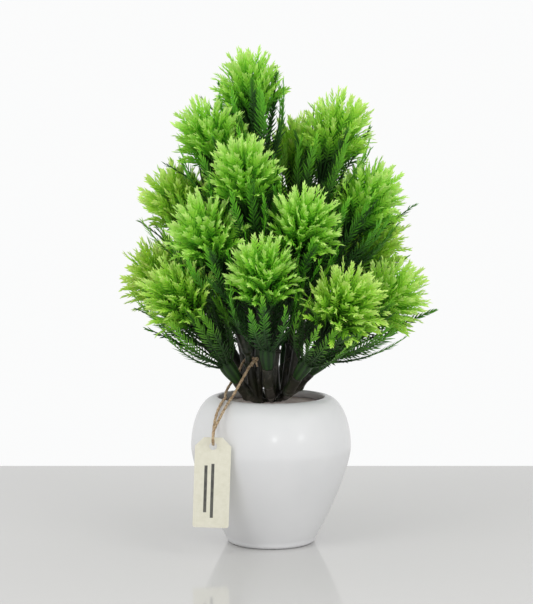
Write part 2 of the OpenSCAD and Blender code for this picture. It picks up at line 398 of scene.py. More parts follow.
route = smooth_route([from_lip(place) for place in TWINE_ROUTE])
twine_length = sum((b - a).length for a, b in zip(route, route[1:]))
twine = lobed_tube("twine", route, TWINE_D / 2)
print(f"twine: {twine_length * 1000:.0f} mm long, {len(route)} rings")

# %% [markdown]
# Knot
#
# The two ends meet in an overhand knot on the shoot. A ball would read as a bead, so the knot is
# a small closed trefoil of the same twine, as in a pulled overhand knot, with two short cut ends.

# %% Knot
KNOT_PLACE = from_lip((-9.3, -15.9, 23.4))
KNOT_R, KNOT_TWINE_R, KNOT_POINTS = 1.15 * MM, 0.38 * TWINE_D, 48
TAIL_L, TAIL_R, TAIL_LEANS = 4.5 * MM, 0.36 * TWINE_D, (-0.5, 0.35)


def make_knot():
    loop = []
    for i in range(KNOT_POINTS):
        t = 2 * pi * i / KNOT_POINTS
        loop.append(KNOT_PLACE + KNOT_R / 2.2 * Vector((
            sin(t) + 2 * sin(2 * t), -sin(3 * t), cos(t) - 2 * cos(2 * t))))
    parts = [lobed_tube("twine_knot_tied", loop, KNOT_TWINE_R, closed=True)]
    bow = Vector((0, -0.3, 0.35)) * TAIL_L
    for lean in TAIL_LEANS:
        end = Vector((lean, -0.45, -1)).normalized() * TAIL_L
        tail = [KNOT_PLACE + end * t + bow * t * (1 - t) for t in (0, 0.2, 0.4, 0.6, 0.8, 1)]
        parts.append(lobed_tube("twine_tail", tail, TAIL_R))
    return joined(parts)


def joined(pieces):
    """Several mesh objects as one, which keeps the first one's name."""
    with editing(pieces[0].data) as shape:
        for piece in pieces[1:]:
            shape.from_mesh(piece.data)
            bpy.data.objects.remove(piece)
    pieces[0].data.shade_smooth()
    return pieces[0]


knot = make_knot()
print("knot:", len(knot.data.polygons), "faces")

# %% [markdown]
# Swing tag
#
# A tag is a die-cut card: two corners clipped, a hole punched near the top, the other corners just
# rounded. A flat extrusion looks like sheet metal, so the card is cut into strips, bowed a little
# along its length, and its edges are softened. Two plain printed bars stand in for lettering.

# %% Tag
TAG_PIN = from_lip((-33, -45, -21.6))
TAG_W, TAG_L, TAG_T = mm(20.6, 52, 0.6)
TAG_TOP, TAG_CORNER, TAG_ROUND = mm(5, 5, 1.4)
TAG_HOLE_R, TAG_DROP = mm(2.2, 1)
TAG_SLANT = radians(2)
TAG_BOW, TAG_EDGE = mm(0.35, 0.12)
HOLE_STEPS, CARD_STRIPS = 32, 16


def arc(centre, radii, degrees):
    """Points of an ellipse round a centre, at the given angles."""
    return [(centre[0] + radii[0] * cos(a), centre[1] + radii[1] * sin(a)) for a in map(radians, degrees)]


def tag_outline():
    """The card's edge, anticlockwise from its lower right corner, round the hole's centre."""
    half, low, radii = TAG_W / 2, TAG_TOP - TAG_L, (TAG_ROUND, TAG_ROUND)
    right = arc((half - TAG_ROUND, low + TAG_ROUND), radii, range(-90, 1, 15))
    left = arc((TAG_ROUND - half, low + TAG_ROUND), radii, range(180, 271, 15))
    top = [(half, TAG_TOP - TAG_CORNER), (half - TAG_CORNER, TAG_TOP),
           (TAG_CORNER - half, TAG_TOP), (-half, TAG_TOP - TAG_CORNER)]
    return right + top + left


def make_tag():
    mesh = bpy.data.meshes.new("paper_tag")
    turns = [360 * i / HOLE_STEPS for i in range(HOLE_STEPS)]
    with editing(mesh) as shape:
        edge, hole = ([shape.verts.new((x, 0, z)) for x, z in outline]
                      for outline in (tag_outline(), arc((0, 0), (TAG_HOLE_R, TAG_HOLE_R), turns)))
        rims = [shape.edges.new(pair) for rim in (edge, hole) for pair in zip(rim, rim[1:] + rim[:1])]
        bmesh.ops.triangle_fill(shape, edges=rims, use_beauty=True)
        for step in range(1, CARD_STRIPS):
            cut = TAG_TOP - TAG_L * step / CARD_STRIPS
            bmesh.ops.bisect_plane(shape, geom=shape.verts[:] + shape.edges[:] + shape.faces[:],
                                   plane_co=(0, 0, cut), plane_no=(0, 0, 1))
    chart = mesh.uv_layers.new(name="card")
    for loop in mesh.loops:
        x, _, z = mesh.vertices[loop.vertex_index].co
        chart.data[loop.index].uv = (x / TAG_L + 0.5, (z - TAG_TOP) / TAG_L + 1)
    for vertex in mesh.vertices:
        share = (vertex.co.z - TAG_TOP + TAG_L / 2) / (TAG_L / 2)
        vertex.co.y = TAG_BOW * (share * share - 0.4)
    tag = link_mesh("paper_tag", mesh)
    solid = tag.modifiers.new("card", "SOLIDIFY")
    solid.thickness, solid.offset = TAG_T, 0
    bevel = tag.modifiers.new("edge", "BEVEL")
    bevel.width, bevel.segments, bevel.limit_method = TAG_EDGE, 2, "ANGLE"
    tag = baked(tag)
    lean = Matrix.Rotation(TAG_SLANT, 4, "Y")
    tag.data.transform(Matrix.Translation(TAG_PIN) @ lean @ Matrix.Translation((0, 0, -TAG_DROP)))
    recalculate_normals(tag)
    return tag


def baked(piece):
    """The piece with its modifiers turned into plain mesh."""
    bpy.context.view_layer.update()
    shown = piece.evaluated_get(bpy.context.evaluated_depsgraph_get())
    mesh = bpy.data.meshes.new_from_object(shown)
    piece.modifiers.clear()
    piece.data = mesh
    mesh.name = piece.name
    return piece


tag = make_tag()
print("tag:", len(tag.data.polygons), "faces")

# %% [markdown]
# Paper and jute
#
# Jute is straw-brown and dusty, and its fibres drift in tone along the yarn. Card is cream with a
# faint fibre cloud. Both are nearly matt.


# %% Twine and tag finishes
# Each bar: its place across and along the card's chart, and half its length there.
PRINTED_BARS = ((0.505, 0.41, 0.3), (0.43, 0.43, 0.26))
BAR_HALF_WIDTH = 0.017


def jute_finish():
    finish = Finish("jute", roughness=0.9, Sheen_Weight=0.25)
    drift = finish.mottle(1.3 * MM, 2.2, 6.0)
    straw = finish.ramp(drift, (0.15, 0.24, 0.15, 0.08), (0.5, 0.48, 0.34, 0.2), (0.9, 0.68, 0.54, 0.37))
    finish.colour(straw)
    finish.bump(finish.group(GRAIN, Size=0.25 * MM, Pits=0.2), 0.8, 0.1 * MM)
    return finish.material


def card_finish():
    """Cream card with two plain printed bars, placed by the card's own chart."""
    finish = Finish("card", roughness=0.75)
    g = finish.g
    cloud = finish.mottle(2.2 * MM, 1.2, 8.0)
    cream = finish.ramp(cloud, (0.2, 0.78, 0.76, 0.62), (0.8, 0.86, 0.84, 0.71))
    chart = g.add("ShaderNodeSeparateXYZ", {0: g.get("ShaderNodeUVMap", uv_map="card")}).outputs
    bars = []
    for across, along, half_length in PRINTED_BARS:
        side = g.math("LESS_THAN", g.math("ABSOLUTE", g.minus(chart[0], across)), BAR_HALF_WIDTH)
        run = g.math("LESS_THAN", g.math("ABSOLUTE", g.minus(chart[1], along)), half_length)
        bars.append(g.times(side, run))
    worn = g.times(g.math("MAXIMUM", *bars), g.mix(cloud, 0.8, 1.0))
    finish.colour(finish.blend(worn, cream, (0.035, 0.037, 0.04, 1)))
    finish.bump(finish.group(GRAIN, Size=0.3 * MM, Pits=0.1), 0.25, 0.05 * MM)
    return finish.material


def paint(piece, material):
    piece.data.materials.clear()
    piece.data.materials.append(material)


jute = jute_finish()
for piece in (twine, knot):
    paint(piece, jute)
paint(tag, card_finish())
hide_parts("twine_upper", "twine_lower")
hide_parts("twine_knot")
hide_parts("tag")
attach(knot, "planter")
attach(tag, "tag")
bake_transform(twine)

# %% [markdown]
# Pot
#
# A slip-cast pot is a shape of revolution, so its wall is one closed outline turned round the
# axis in many steps. The belly sweeps to a small foot by a power curve, the shoulder is an
# ellipse, and the lip is a small roll.

# %% Pot
POT_R, POT_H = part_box("pot")[1].x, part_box("pot")[1].z
BELLY_Z, FOOT_R, MOUTH_R, WALL, FLOOR_T = mm(57, 25.1, 31.5, 4, 5)
LIP_ROLL, FOOT_ROUND, POT_TAPER = 1 * MM, 3 * MM, 1.42
NECK_Z = POT_H - 4 * MM
FOOT_RING, FOOT_HOLLOW = mm(3, 0.4)
ON_AXIS = 0.0001 * MM


def side_r(z):
    """Outer radius of the pot below its belly."""
    return POT_R - (POT_R - FOOT_R) * ((BELLY_Z - z) / BELLY_Z) ** POT_TAPER


def inner_r(z):
    """Inner radius of the pot at height z."""
    if z <= BELLY_Z:
        return side_r(z) - WALL
    share = min(1.0, (z - BELLY_Z) / (NECK_Z - BELLY_Z))
    return MOUTH_R + (POT_R - WALL - MOUTH_R) * sqrt(1 - share * share)


def stepped(low, high, steps):
    return [low + (high - low) * i / steps for i in range(steps + 1)]


def pot_outline():
    """Closed outline from the middle of the foot, up the outside and down the inside."""
    foot_x, rim = side_r(FOOT_ROUND) - FOOT_ROUND, MOUTH_R + LIP_ROLL
    ring_x = foot_x - FOOT_RING
    out = [(0, FOOT_HOLLOW), (ring_x, FOOT_HOLLOW), (ring_x + FOOT_RING / 5, 0)]
    out += arc((foot_x, FOOT_ROUND), (FOOT_ROUND, FOOT_ROUND), range(-90, -17, 9))
    out += [(side_r(z), z) for z in stepped(FOOT_ROUND, BELLY_Z, 36)]
    out += arc((rim, BELLY_Z), (POT_R - rim, POT_H - BELLY_Z), [2.5 * i for i in range(1, 36)])
    out += arc((rim, POT_H - LIP_ROLL), (LIP_ROLL, LIP_ROLL), range(90, 181, 15))
    out += [(inner_r(z), z) for z in stepped(NECK_Z, FLOOR_T, 40)]
    return out + [(0, FLOOR_T)]


def turned(name, outline, steps):
    """A solid of revolution. An outline that starts and ends on the axis closes at its poles."""
    verts, rings, faces = [], [], []
    for radius, z in outline:
        if radius < ON_AXIS:
            rings.append([len(verts)] * steps)
            verts.append((0, 0, z))
        else:
            rings.append([len(verts) + k for k in range(steps)])
            turns = [2 * pi * k / steps for k in range(steps)]
            verts += [(radius * cos(turn), radius * sin(turn), z) for turn in turns]
    following = rings[1:] if outline[0][0] < ON_AXIS else rings[1:] + rings[:1]
    for low, high in zip(rings, following):
        for k in range(steps):
            corners = [low[k], low[(k + 1) % steps], high[(k + 1) % steps], high[k]]
            face = tuple(dict.fromkeys(corners))
            if len(face) > 2:
                faces.append(face)
    return smooth_solid(name, verts, faces)


pot = turned("glazed_pot", pot_outline(), 192)
print("pot:", len(pot.data.polygons), "faces")

# %% [markdown]
# Plaster
#
# The pot is filled with poured plaster, which creeps up the wall and round the stems and sets with
# small lumps. The fill is turned like the pot, and only its top is moved by noise, so it stays a
# closed solid that fits the wall.

# %% Plaster
PLASTER_Z, PLASTER_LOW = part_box("plaster_fill")[1].z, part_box("plaster_fill")[0].z
HUB_R, PLASTER_IN, WALL_GAP = mm(7, 5.4, 0.03)
CREEP, CREEP_WIDTH = mm(0.9, 1.1)
HEAP, HEAP_WIDTH = mm(2.1, 2.6)
LUMPS, LUMP_RATE = 0.32 * MM, 240
RIPPLE, RIPPLE_RATE = 0.5 * MM, 70


def plaster_outline():
    wall_r = inner_r(PLASTER_Z) - WALL_GAP
    wall = stepped(PLASTER_LOW, PLASTER_Z, 6)[:-1]
    out = [(HUB_R, PLASTER_LOW)] + [(inner_r(z) - WALL_GAP, z) for z in wall]
    out += [(radius, PLASTER_Z) for radius in stepped(wall_r, PLASTER_IN, 30)]
    return out + [(HUB_R, PLASTER_Z - 3 * MM)]


def rumple_plaster(piece):
    """Raises the top: up the wall, in a heap round the hub, and in lumps and ripples."""
    wall_r = inner_r(PLASTER_Z)
    for vertex in piece.data.vertices:
        if vertex.co.z < PLASTER_Z - 0.1 * MM:
            continue
        radius = hypot(vertex.co.x, vertex.co.y)
        creep = CREEP * exp((radius - wall_r) / CREEP_WIDTH)
        heap = HEAP * exp(-(max(radius - PLASTER_IN, 0) / HEAP_WIDTH) ** 2)
        lumps = LUMPS * noise.fractal(vertex.co * LUMP_RATE, 0.9, 2.1, 4)
        ripple = RIPPLE * noise.noise(vertex.co * RIPPLE_RATE + Vector((4, 1, 7)))
        vertex.co.z += creep + heap + lumps + ripple


plaster = turned("plaster_top", plaster_outline(), 160)
rumple_plaster(plaster)
print("plaster:", len(plaster.data.polygons), "faces")

# %% [markdown]
# Glaze and plaster
#
# The glaze is a satin white fired over a smooth body, so its colour hardly drifts and its shine is
# broad with a thin clear coat above it. The plaster is the opposite: matt, pinkish and specked,
# with a rough grain, as it sets without being smoothed.


# %% Ceramic and plaster finishes
def glaze_finish():
    """White satin glaze: even colour, a soft lacquer on top and the faintest orange peel."""
    finish = Finish("satin_glaze", roughness=0.4, Coat_Weight=0.55, Coat_Roughness=0.16, Coat_IOR=1.45)
    drift = finish.mottle(26 * MM, 1.0, 2.0)
    finish.colour(finish.ramp(drift, (0.2, 0.74, 0.745, 0.755), (0.8, 0.79, 0.793, 0.8)))
    finish.roughness(drift, 0.36, 0.44)
    finish.bump(finish.group(GRAIN, Size=2.4 * MM, Pits=0.0), 0.12, 0.06 * MM)
    return finish.material


def plaster_finish():
    finish = Finish("plaster", roughness=0.92)
    drift = finish.mottle(9 * MM, 2.0, 5.0)
    speck = finish.mottle(0.9 * MM, 3.0, 3.0)
    base = finish.ramp(drift, (0.2, 0.66, 0.56, 0.51), (0.8, 0.88, 0.79, 0.76))
    finish.colour(finish.blend(finish.g.times(speck, 0.3), base, (0.36, 0.28, 0.23, 1)))
    finish.bump(finish.group(GRAIN, Size=0.7 * MM, Pits=0.5), 0.6, 0.25 * MM)
    return finish.material


def stand_for(piece, node):
    """Hides its CAD node and gives the piece that node's body."""
    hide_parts(node)
    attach(piece, BODY_OF[node])


paint(pot, glaze_finish())
paint(plaster, plaster_finish())
stand_for(pot, "pot")
stand_for(plaster, "plaster_fill")

# %% [markdown]
# Boughs
#
# The boughs are moulded in one shot round a wire, so every fork and sleeve flows into the next
# with a small fillet, and the skin is slightly lumpy. The frame's boughs have hard joins. A copy
# remeshed into small voxels and relaxed melts them together, and a noise in a Geometry Nodes tree
# then swells and dents the skin.

# %% Bough skin tree
VOXEL, WELD = mm(0.45, 0.002)
LUMP_SIZE, LUMP_DEPTH, LUMP_STRETCH = 5 * MM, 0.32 * MM, 0.35
SCORE_STRETCH, SCORE_RATE = 0.18, 900.0


def build_bark_skin():
    tree = new_tree("bark_skin", "GeometryNodeTree",
                    [("Geometry", GEOMETRY, None), ("Lump Size", FLOAT, 0.004), ("Depth", FLOAT, 0.0002),
                     ("Material", MATERIAL, None)], [("Geometry", GEOMETRY)])
    g, given = opened(tree)
    place = g.geo("InputPosition")
    normal = g.geo("InputNormal")
    stretched = g.vector("MULTIPLY", place, (1.0, 1.0, LUMP_STRETCH))
    rate = g.over(1.0, given["Lump Size"])
    lumps = g.noise(stretched, rate, 3.0)
    swell = g.times(g.minus(lumps, 0.5), given["Depth"])
    offset = g.scaled(normal, swell)
    swollen = g.geo("SetPosition", {"Geometry": given["Geometry"], "Offset": offset})
    painted(g, swollen, given["Material"])
    return tree


def set_inputs(modifier, values):
    """Sets a Geometry Nodes modifier's inputs by the identifiers behind their names."""
    for item in modifier.node_group.interface.items_tree:
        if item.item_type == "SOCKET" and item.in_out == "INPUT" and item.name in values:
            modifier[item.identifier] = values[item.name]


BARK_SKIN = build_bark_skin()


def moulded(node, material):
    """A melted-together copy of a CAD stem."""
    piece = link_mesh(node + "_moulded", frame["nodes"][node].data.copy())
    with editing(piece.data) as shape:
        bmesh.ops.remove_doubles(shape, verts=shape.verts, dist=WELD)
    remesh = piece.modifiers.new("melt", "REMESH")
    remesh.mode, remesh.voxel_size, remesh.use_smooth_shade = "VOXEL", VOXEL, True
    relax = piece.modifiers.new("relax", "SMOOTH")
    relax.factor, relax.iterations = 0.5, 4
    skin = piece.modifiers.new("skin", "NODES")
    skin.node_group = BARK_SKIN
    set_inputs(skin, {"Lump Size": LUMP_SIZE, "Depth": LUMP_DEPTH, "Material": material})
    piece = baked(piece)
    paint(piece, material)
    piece.data.shade_smooth()
    return piece


def bark_finish():
    """Dark brown polythene with a soft shine, fine lengthwise scoring and pale scuffs."""
    finish = Finish("bark_plastic", roughness=0.42, Specular_IOR_Level=0.45)
    g = finish.g
    place = g.add("ShaderNodeTexCoord").outputs["Object"]
    drawn = g.vector("MULTIPLY", place, (1.0, 1.0, SCORE_STRETCH))
    score = g.noise(drawn, SCORE_RATE, 4.0)
    drift = finish.mottle(12 * MM, 1.8, 3.0)
    scuff = finish.mottle(2.6 * MM, 5.0, 5.0)
    dark = finish.ramp(drift, (0.2, 0.011, 0.011, 0.007), (0.55, 0.024, 0.024, 0.013),
                       (0.85, 0.02, 0.038, 0.014))
    worn = g.times(g.math("GREATER_THAN", scuff, 0.95), 0.22)
    finish.colour(finish.blend(worn, dark, (0.16, 0.14, 0.11, 1)))
    finish.roughness(score, 0.26, 0.46)
    finish.bump(score, 0.3, 0.2 * MM)
    return finish.material


BARK = bark_finish()
stem_nodes = [name for name in frame["nodes"] if name.startswith("bough") or name == "leader"]
for name in sorted(stem_nodes):
    stem = moulded(name, BARK)
    stand_for(stem, name)
    print("stem:", name, len(stem.data.polygons), "faces")

# %% [markdown]
# Sprigs
#
# Each sprig is a push-in branch end. From a fluted calyx a whorl of long comb-like fronds opens
# into a basket, and above it a tight head of short feathery plumes fans out like a shaving brush.
# Every frond is a curved rib with slender barbs down both sides, so one tree makes them all. A
# nested group gives the place, heading and side of any point on any rib from its number. Golden-
# angle steps spread the ribs evenly round the axis, as in a pine cone.

# %% Rib group
GOLDEN_ANGLE = pi * (3 - sqrt(5))
LEAN_JITTER, TURN_JITTER = 0.15, 0.2
# Values for the basket, the loose fronds and the head of plumes.
RIB_VALUES = {
    "Count": (14.0, 5.0, 112.0),
    "Inner Angle": (1.0, 0.9, 0.14),
    "Outer Angle": (1.8, 1.62, 2.0),
    "Head Height": mm(62, 66, 69),
    "Reach": mm(22, 27, 20),
    "Reach Spread": (0.22, 0.3, 0.26),
    "Skirt": (0.0, 0.0, 0.24),
    "Root High": mm(17, 17, 52),
    "Root Low": mm(12, 12, 33),
    "Root Radius": mm(2.8, 2.8, 1.6),
    "Upright": (0.34, 0.5, 0.56),
    "Flare": (0.34, 0.2, 0.14),
    "Droop": mm(3, 5, 2.6),
    "Twist": (0.45, 0.9, 1.2),
}
BARB_VALUES = {
    "Barbs": (19.0, 17.0, 9.0),
    "First Barb": (0.13, 0.3, 0.38),
    "Barb Length": mm(7, 5.4, 4.9),
    "Barb Width": mm(0.6, 0.7, 0.78),
    "Sweep Low": (1.0, 1.0, 0.92),
    "Sweep Tip": (0.25, 0.25, 0.26),
    "Fullness": (0.3, 0.3, 0.5),
    "Rib Radius": mm(0.75, 0.75, 0.52),
    # The plumes' negative root tint is painted shade deep inside the head.
    "Tint Root": (0.0, 0.0, -0.16),
    "Tint Tip": (0.58, 0.34, 0.98),
}
PLUMES = 2
RIB_INPUTS = [("Seed", INT, 1)] + [(title, FLOAT, row[PLUMES]) for title, row in RIB_VALUES.items()]
FROND_INPUTS = RIB_INPUTS + [(title, FLOAT, row[PLUMES]) for title, row in BARB_VALUES.items()]


def build_rib():
    """Place, heading, side and normal at a share Along of rib number Rib."""
    directions = [(title, VECTOR) for title in ("Place", "Heading", "Side", "Normal")]
    tree = new_tree("rib", "GeometryNodeTree", [("Rib", FLOAT, 0.0), ("Along", FLOAT, 0.0)] + RIB_INPUTS,
                    directions + [("Outness", FLOAT)])
    g, given = opened(tree)
    rib, along, seed = given["Rib"], given["Along"], given["Seed"]
    share = g.over(g.plus(rib, 0.5), given["Count"])
    cosine = g.mix(share, g.math("COSINE", given["Inner Angle"]), g.math("COSINE", given["Outer Angle"]))
    lean = g.plus(g.math("ARCCOSINE", cosine), g.random(-LEAN_JITTER, LEAN_JITTER, rib, seed, 1))
    turn = g.times_plus(rib, GOLDEN_ANGLE, g.random(-TURN_JITTER, TURN_JITTER, rib, seed, 2))
    spoke = g.xyz(g.math("COSINE", turn), g.math("SINE", turn))
    round_way = g.xyz(g.times(g.math("SINE", turn), -1.0), g.math("COSINE", turn))
    sine = g.math("SINE", lean)
    ray = g.vector("ADD", g.scaled(spoke, sine), g.xyz(z=g.math("COSINE", lean)))
    # The tip lies on a ball round the head. The lowest tips reach further, as a skirt.
    longest = g.plus(1.0, g.times(given["Reach Spread"], 0.5))
    shortest = g.minus(1.0, given["Reach Spread"])
    reach = g.times(given["Reach"], g.random(shortest, longest, rib, seed, 3))
    reach = g.times(reach, g.times_plus(g.math("POWER", share, 3.0), given["Skirt"], 1.0))
    tip = g.vector("ADD", g.xyz(z=given["Head Height"]), g.scaled(ray, reach))
    root_z = g.mix(share, given["Root High"], given["Root Low"])
    root = g.vector("ADD", g.scaled(spoke, given["Root Radius"]), g.xyz(z=root_z))
    span = g.add("ShaderNodeVectorMath", {0: tip, 1: root}, operation="DISTANCE").outputs["Value"]
    rise = g.xyz(z=g.times(span, given["Upright"]))
    flare = g.scaled(spoke, g.times(span, given["Flare"], sine))
    elbow = g.vector("ADD", root, g.vector("ADD", flare, rise))
    # Root, elbow and tip bend the rib, and its weight makes it sag.
    back = g.minus(1.0, along)
    outer = g.vector("ADD", g.scaled(elbow, g.times(along, back, 2.0)), g.scaled(tip, g.times(along, along)))
    bend = g.vector("ADD", g.scaled(root, g.times(back, back)), outer)
    sag = g.times(g.math("POWER", along, 3.0), given["Droop"], sine)
    place = g.vector("SUBTRACT", bend, g.xyz(z=sag))
    first, last = g.vector("SUBTRACT", elbow, root), g.vector("SUBTRACT", tip, elbow)
    slope = g.vector("ADD", g.scaled(first, back), g.scaled(last, along))
    sag_rate = g.times(g.math("POWER", along, 2.0), given["Droop"], sine, 1.5)
    heading = g.vector("NORMALIZE", g.vector("SUBTRACT", slope, g.xyz(z=sag_rate)))
    plain_normal = g.vector("NORMALIZE", g.vector("CROSS_PRODUCT", heading, round_way))
    flat_side = g.vector("CROSS_PRODUCT", plain_normal, heading)
    twist = g.times(g.random(-1.0, 1.0, rib, seed, 4), given["Twist"])
    side = g.vector("ADD", g.scaled(flat_side, g.math("COSINE", twist)),
                    g.scaled(plain_normal, g.math("SINE", twist)))
    g.add("NodeGroupOutput", {"Place": place, "Heading": heading, "Side": side, "Outness": share,
                              "Normal": g.vector("CROSS_PRODUCT", heading, side)})
    return tree


RIB = build_rib()

# %% [markdown]
# Fronds
#
# The frond tree makes two things from the rib group. A thin tapered rib is a curve through a
# dozen of its places, with a four-sided section. The barbs are one small lance-shaped solid set on
# many places, turned into the frond's own plane and swept forward, more so towards the tip. Barbs
# carry a tint from deep green at the root to lime at the tip, which the material reads. The plumes'
# roots, deep inside the head, and the tips of the lowest ribs are tinted darker still as painted shade.

# %% Frond tree
RIB_STEPS = 11.0
RIB_TAPER = 0.75
BARB_FLATNESS = 0.42
LAST_BARB = 0.985


def placed_rib(g, given, rib, along):
    inputs = {title: given[title] for title, _, _ in RIB_INPUTS}
    return g.add("GeometryNodeGroup", {"Rib": rib, "Along": along, **inputs}, node_tree=RIB).outputs


def stored(g, geometry, name, value):
    node = g.add("GeometryNodeStoreNamedAttribute", {"Geometry": geometry, "Name": name},
                 data_type="FLOAT", domain="POINT")
    g.feed(next(s for s in node.inputs if s.name == "Value" and s.enabled), value)
    return node.outputs[0]


def named(g, name):
    node = g.add("GeometryNodeInputNamedAttribute", {"Name": name}, data_type="FLOAT")
    return next(s for s in node.outputs if s.enabled)


def swept(g, curve, section, scale=1.0):
    return g.geo("CurveToMesh", {"Curve": curve, "Profile Curve": section, "Scale": scale, "Fill Caps": True})


def line(g, low, high):
    return g.geo("CurvePrimitiveLine", {"Start": (0, 0, low), "End": (0, 0, high)})


def ring(g, sides, radius):
    return g.geo("CurvePrimitiveCircle", {"Resolution": sides, "Radius": radius})


def moved(g, geometry, position):
    return g.geo("SetPosition", {"Geometry": geometry, "Position": position})


def position_parts(g):
    return g.add("ShaderNodeSeparateXYZ", {0: g.geo("InputPosition")}).outputs[:3]


def counted(g, each):
    """Each point's group and its place there, for groups of a given size."""
    index = g.geo("InputIndex")
    group = g.math("FLOOR", g.over(g.plus(index, 0.5), each))
    return group, g.minus(index, g.times(group, each))


def rib_part(g, given):
    """Every frond's rib, as one tapered curve each."""
    points = g.geo("Points", {"Count": g.times(given["Count"], RIB_STEPS)})
    rib, step = counted(g, RIB_STEPS)
    points = stored(g, points, "rib_number", rib)
    points = stored(g, points, "along_rib", g.over(step, RIB_STEPS - 1.0))
    number, along = named(g, "rib_number"), named(g, "along_rib")
    points = moved(g, points, placed_rib(g, given, number, along)["Place"])
    points = stored(g, points, "tone", g.mix(along, given["Tint Root"], given["Tint Tip"]))
    curves = g.geo("PointsToCurves", {"Points": points, "Curve Group ID": number, "Weight": along})
    return swept(g, curves, ring(g, 4, given["Rib Radius"]), g.times_plus(along, -RIB_TAPER, 1.0))


def barb_template(g):
    """A closed lance one unit long: narrow at its root, widest at half its length."""
    cone = g.geo("MeshCone", {"Vertices": 4, "Side Segments": 2, "Radius Top": 0.0,
                              "Radius Bottom": 1.0, "Depth": 1.0})
    swell = g.times_plus(position_parts(g)[2], 2.0, 0.6)
    place = g.geo("InputPosition")
    cone = moved(g, cone, g.vector("MULTIPLY", place, g.xyz(swell, swell, 1.0)))
    return stored(g, cone, "along_barb", position_parts(g)[2])


def barb_part(g, given):
    """Every barb of every frond."""
    per_frond = g.times(given["Barbs"], 2.0)
    points = g.geo("Points", {"Count": g.times(given["Count"], per_frond)})
    rib, rest = counted(g, per_frond)
    slot = g.math("FLOOR", g.over(g.plus(rest, 0.5), 2.0))
    odd = g.minus(rest, g.times(slot, 2.0))
    # The two sides are set a little apart along the rib.
    share = g.over(g.plus(slot, g.times_plus(odd, 0.45, 0.3)), given["Barbs"])
    points = stored(g, points, "rib_number", rib)
    points = stored(g, points, "barb_share", share)
    points = stored(g, points, "hand", g.times_plus(odd, -2.0, 1.0))
    share, hand = named(g, "barb_share"), named(g, "hand")
    along = g.math("MINIMUM", g.mix(share, given["First Barb"], 1.0), LAST_BARB)
    where = placed_rib(g, given, named(g, "rib_number"), along)
    index, seed = g.geo("InputIndex"), given["Seed"]
    sweep = g.mix(share, given["Sweep Low"], given["Sweep Tip"])
    sweep = g.plus(sweep, g.random(-0.09, 0.09, index, seed, 6))
    cup = g.random(-0.28, 0.3, index, seed, 7)
    ahead = g.scaled(where["Heading"], g.math("COSINE", sweep))
    aside = g.scaled(where["Side"], g.times(hand, g.math("SINE", sweep)))
    aim = g.vector("ADD", g.vector("ADD", ahead, aside), g.scaled(where["Normal"], cup))
    turn = g.get("FunctionNodeAxesToRotation", {0: g.vector("NORMALIZE", aim), 1: where["Normal"]},
                 primary_axis="Z", secondary_axis="Y")
    # Barbs are longest at the middle of the frond.
    swelling = g.math("SINE", g.times_plus(share, 2.35, 0.45))
    length = g.times(given["Barb Length"], g.mix(given["Fullness"], swelling, 1.0),
                     g.random(0.78, 1.15, index, seed, 8))
    width = given["Barb Width"]
    points = moved(g, points, where["Place"])
    # Painted shade: the lowest-hanging ribs, under the rest of the whorl, get darker tips.
    shaded_low_tips = g.times_plus(g.math("POWER", where["Outness"], 4.0), -0.22, 1.0)
    tone = g.mix(along, given["Tint Root"], g.times(given["Tint Tip"], shaded_low_tips))
    barbs = g.geo("InstanceOnPoints", {
        "Points": stored(g, points, "tone", tone), "Instance": barb_template(g), "Rotation": turn,
        "Scale": g.xyz(width, g.times(width, BARB_FLATNESS), length)})
    return g.geo("RealizeInstances", {"Geometry": barbs})


def joined_parts(g, *parts):
    both = g.add("GeometryNodeJoinGeometry")
    for part in parts:
        g.feed(both.inputs[0], part)
    return both.outputs[0]


def build_frond():
    tree = new_tree("frond_whorl", "GeometryNodeTree", FROND_INPUTS, [("Geometry", GEOMETRY)])
    g, given = opened(tree)
    g.add("NodeGroupOutput", {"Geometry": joined_parts(g, rib_part(g, given), barb_part(g, given))})
    return tree


FROND = build_frond()
print("frond tree:", len(FROND.nodes), "nodes; rib tree:", len(RIB.nodes), "nodes")

# %% [markdown]
# The whole sprig
#
# A sprig joins four parts: the peg and fluted calyx with the stalk above it, a basket of comb
# fronds, a few loose fronds that reach past the rest, and the head of plumes. The calyx is swept
# with a round section whose radius changes, and its wall is then pulled into flutes, with painted
# light on their ridges and painted shade in their grooves.

# %% Sprig tree
PEG_R, PEG_L = mm(1.55, 7)
CALYX_L, STALK_TOP = mm(15, 50)
FLUTES, FLUTE_DEPTH = 7.0, 0.15
CHANNELS = (100.0, 200.0, 300.0)


def core_part(g):
    """Peg, fluted calyx and stalk, swept along the sprig's own axis."""
    spine = g.geo("ResampleCurve", {"Curve": line(g, 0.3 * MM, STALK_TOP), "Count": 40})
    height = position_parts(g)[2]
    rise = g.over(height, CALYX_L)
    bell = g.times_plus(g.math("SINE", g.times(rise, 2.3)), 1.3 * MM, 3 * MM)
    stalk = g.times_plus(height, -0.036, 3.1 * MM)
    # The calyx gives way to the stalk a little below its end.
    past = g.math("SMOOTH_MIN", g.math("MAXIMUM", g.minus(rise, 0.85), 0.0), 0.4, 0.1)
    body = swept(g, spine, ring(g, 28, 1.0), g.mix(g.over(past, 0.4), bell, stalk))
    x, y, z = position_parts(g)
    flute = g.math("COSINE", g.times(g.math("ARCTAN2", y, x), FLUTES))
    depth = g.times(g.math("MINIMUM", g.over(z, CALYX_L), 1.0), FLUTE_DEPTH)
    pull = g.times_plus(flute, depth, 1.0)
    place = g.geo("InputPosition")
    fluted = moved(g, body, g.vector("MULTIPLY", place, g.xyz(pull, pull, 1.0)))
    # Painted light and shade: the flutes' ridges are tinted lighter and their grooves darker.
    fluted = stored(g, fluted, "tone", g.times_plus(flute, 0.14, 0.1))
    return joined_parts(g, fluted, swept(g, line(g, -PEG_L, 1 * MM), ring(g, 16, PEG_R)))


